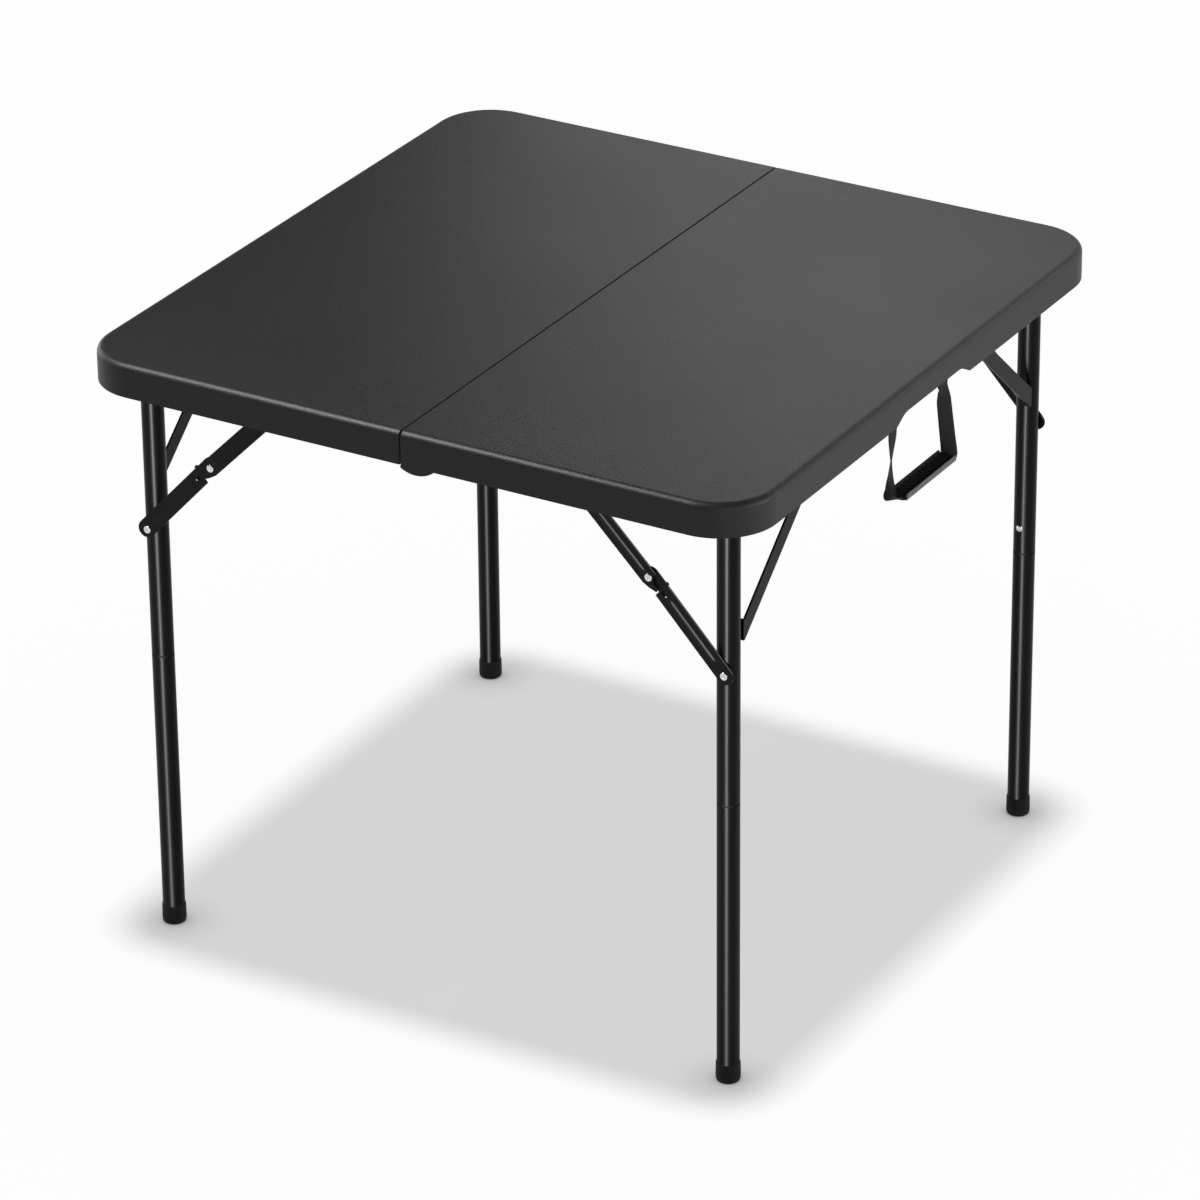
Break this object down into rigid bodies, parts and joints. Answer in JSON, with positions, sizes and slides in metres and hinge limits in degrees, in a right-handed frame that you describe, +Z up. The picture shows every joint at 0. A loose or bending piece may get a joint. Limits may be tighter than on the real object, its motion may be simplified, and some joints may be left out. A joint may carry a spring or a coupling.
{
  "type": "folding card table",
  "caption": "Square card table with a hollow moulded top that folds in half, two folding tubular leg frames with jointed braces, pull-off lower legs and a carry handle.",
  "frame": {"origin": "on the floor under the middle of the seam, at the centre of the footprint", "axes": "+X across the seam to the half with the carry handle, +Y along the seam, +Z up"},
  "size_m": [0.8636, 0.8636, 0.748],
  "materials": {
    "top_plastic": "fine pebbled",
    "black_steel": "satin",
    "clamp_steel": "satin",
    "bright_steel": "zinc plated",
    "spring_steel": "plain",
    "foot_rubber": "matte",
    "webbing": "woven",
    "grip_plastic": "satin"
  },
  "bodies": {
    "left_half": {"left_top": "top_plastic", "left_hinge_leaves": "black_steel", "left_pivot_clamps": "clamp_steel", "left_front_brace_anchor": "black_steel", "left_rear_brace_anchor": "black_steel", "left_anchor_rivets": "bright_steel", "left_screws": "bright_steel", "hinge_pins": "bright_steel"},
    "left_frame": {"left_cross_tube": "black_steel", "left_front_upper_leg": "black_steel", "left_rear_upper_leg": "black_steel", "left_front_gusset": "black_steel", "left_rear_gusset": "black_steel", "left_frame_rivets": "bright_steel"},
    "right_half": {"right_top": "top_plastic", "right_hinge_leaves": "black_steel", "right_pivot_clamps": "clamp_steel", "right_front_brace_anchor": "black_steel", "right_rear_brace_anchor": "black_steel", "right_anchor_rivets": "bright_steel", "right_screws": "bright_steel", "handle_bar": "black_steel", "handle_ears": "black_steel"},
    "right_frame": {"right_cross_tube": "black_steel", "right_front_upper_leg": "black_steel", "right_rear_upper_leg": "black_steel", "right_front_gusset": "black_steel", "right_rear_gusset": "black_steel", "right_frame_rivets": "bright_steel"},
    "handle": {"handle_strap": "webbing", "handle_grip": "grip_plastic"},
    "left_front_upper_brace": {"left_front_upper_link": "black_steel", "left_front_knee_rivet": "bright_steel"},
    "left_front_lower_brace": {"left_front_lower_link": "black_steel"},
    "left_front_leg": {"left_front_lower_leg": "black_steel", "left_front_foot": "foot_rubber", "left_front_snap_clip": "spring_steel"},
    "left_front_button": {"left_front_snap_button": "bright_steel"},
    "left_rear_upper_brace": {"left_rear_upper_link": "black_steel", "left_rear_knee_rivet": "bright_steel"},
    "left_rear_lower_brace": {"left_rear_lower_link": "black_steel"},
    "left_rear_leg": {"left_rear_lower_leg": "black_steel", "left_rear_foot": "foot_rubber", "left_rear_snap_clip": "spring_steel"},
    "left_rear_button": {"left_rear_snap_button": "bright_steel"},
    "right_front_upper_brace": {"right_front_upper_link": "black_steel", "right_front_knee_rivet": "bright_steel"},
    "right_front_lower_brace": {"right_front_lower_link": "black_steel"},
    "right_front_leg": {"right_front_lower_leg": "black_steel", "right_front_foot": "foot_rubber", "right_front_snap_clip": "spring_steel"},
    "right_front_button": {"right_front_snap_button": "bright_steel"},
    "right_rear_upper_brace": {"right_rear_upper_link": "black_steel", "right_rear_knee_rivet": "bright_steel"},
    "right_rear_lower_brace": {"right_rear_lower_link": "black_steel"},
    "right_rear_leg": {"right_rear_lower_leg": "black_steel", "right_rear_foot": "foot_rubber", "right_rear_snap_clip": "spring_steel"},
    "right_rear_button": {"right_rear_snap_button": "bright_steel"}
  },
  "joints": [
    {"name": "half_fold", "type": "hinge", "parent": "left_half", "child": "right_half", "pos_m": [0, 0, 0.7035], "axis": [0, -1, 0], "range_deg": [-50, 0]},
    {"name": "left_frame_fold", "type": "hinge", "parent": "left_half", "child": "left_frame", "pos_m": [-0.3736, 0, 0.722], "axis": [0, 1, 0], "range_deg": [-90, 0]},
    {"name": "right_frame_fold", "type": "hinge", "parent": "right_half", "child": "right_frame", "pos_m": [0.3736, 0, 0.722], "axis": [0, 1, 0], "range_deg": [0, 90]},
    {"name": "left_front_upper_brace_swing", "type": "hinge", "parent": "left_half", "child": "left_front_upper_brace", "pos_m": [-0.1808, -0.3813, 0.722], "axis": [0, 1, 0], "range_deg": [-133.5, 0]},
    {"name": "left_front_lower_brace_swing", "type": "hinge", "parent": "left_frame", "child": "left_front_lower_brace", "pos_m": [-0.3768, -0.3778, 0.5176], "axis": [0, 1, 0], "range_deg": [0, 137.27]},
    {"name": "left_rear_upper_brace_swing", "type": "hinge", "parent": "left_half", "child": "left_rear_upper_brace", "pos_m": [-0.1808, 0.3813, 0.722], "axis": [0, 1, 0], "range_deg": [-133.5, 0]},
    {"name": "left_rear_lower_brace_swing", "type": "hinge", "parent": "left_frame", "child": "left_rear_lower_brace", "pos_m": [-0.3768, 0.3778, 0.5176], "axis": [0, 1, 0], "range_deg": [0, 137.27]},
    {"name": "right_front_upper_brace_swing", "type": "hinge", "parent": "right_half", "child": "right_front_upper_brace", "pos_m": [0.1808, -0.3813, 0.722], "axis": [0, 1, 0], "range_deg": [0, 133.5]},
    {"name": "right_front_lower_brace_swing", "type": "hinge", "parent": "right_frame", "child": "right_front_lower_brace", "pos_m": [0.3768, -0.3778, 0.5176], "axis": [0, 1, 0], "range_deg": [-137.27, 0]},
    {"name": "right_rear_upper_brace_swing", "type": "hinge", "parent": "right_half", "child": "right_rear_upper_brace", "pos_m": [0.1808, 0.3813, 0.722], "axis": [0, 1, 0], "range_deg": [0, 133.5]},
    {"name": "right_rear_lower_brace_swing", "type": "hinge", "parent": "right_frame", "child": "right_rear_lower_brace", "pos_m": [0.3768, 0.3778, 0.5176], "axis": [0, 1, 0], "range_deg": [-137.27, 0]},
    {"name": "left_front_leg_pull", "type": "slide", "parent": "left_frame", "child": "left_front_leg", "axis": [0, 0, 1], "range_m": [-0.125, 0], "deforming": ["left_front_snap_clip", "left_front_snap_button"]},
    {"name": "left_front_button_press", "type": "slide", "parent": "left_front_leg", "child": "left_front_button", "axis": [0, 1, 0], "range_m": [-0.004, 0], "stiffness_N_per_m": 800, "springref_m": 0.0005, "deforming": ["left_front_snap_clip"]},
    {"name": "left_rear_leg_pull", "type": "slide", "parent": "left_frame", "child": "left_rear_leg", "axis": [0, 0, 1], "range_m": [-0.125, 0], "deforming": ["left_rear_snap_clip", "left_rear_snap_button"]},
    {"name": "left_rear_button_press", "type": "slide", "parent": "left_rear_leg", "child": "left_rear_button", "axis": [0, -1, 0], "range_m": [-0.004, 0], "stiffness_N_per_m": 800, "springref_m": 0.0005, "deforming": ["left_rear_snap_clip"]},
    {"name": "right_front_leg_pull", "type": "slide", "parent": "right_frame", "child": "right_front_leg", "axis": [0, 0, 1], "range_m": [-0.125, 0], "deforming": ["right_front_snap_clip", "right_front_snap_button"]},
    {"name": "right_front_button_press", "type": "slide", "parent": "right_front_leg", "child": "right_front_button", "axis": [0, 1, 0], "range_m": [-0.004, 0], "stiffness_N_per_m": 800, "springref_m": 0.0005, "deforming": ["right_front_snap_clip"]},
    {"name": "right_rear_leg_pull", "type": "slide", "parent": "right_frame", "child": "right_rear_leg", "axis": [0, 0, 1], "range_m": [-0.125, 0], "deforming": ["right_rear_snap_clip", "right_rear_snap_button"]},
    {"name": "right_rear_button_press", "type": "slide", "parent": "right_rear_leg", "child": "right_rear_button", "axis": [0, -1, 0], "range_m": [-0.004, 0], "stiffness_N_per_m": 800, "springref_m": 0.0005, "deforming": ["right_rear_snap_clip"]},
    {"name": "handle_swing", "type": "hinge", "parent": "right_half", "child": "handle", "pos_m": [0.4144, 0.005, 0.714], "axis": [0, -1, 0], "range_deg": [0, 60]}
  ],
  "couplings": [
    {"joint": "left_front_upper_brace_swing", "follows": "left_frame_fold", "ratio": 1.4832},
    {"joint": "left_front_lower_brace_swing", "follows": "left_frame_fold", "ratio": -1.5251},
    {"joint": "left_rear_upper_brace_swing", "follows": "left_frame_fold", "ratio": 1.4832},
    {"joint": "left_rear_lower_brace_swing", "follows": "left_frame_fold", "ratio": -1.5251},
    {"joint": "right_front_upper_brace_swing", "follows": "right_frame_fold", "ratio": 1.4832},
    {"joint": "right_front_lower_brace_swing", "follows": "right_frame_fold", "ratio": -1.5251},
    {"joint": "right_rear_upper_brace_swing", "follows": "right_frame_fold", "ratio": 1.4832},
    {"joint": "right_rear_lower_brace_swing", "follows": "right_frame_fold", "ratio": -1.5251}
  ]
}
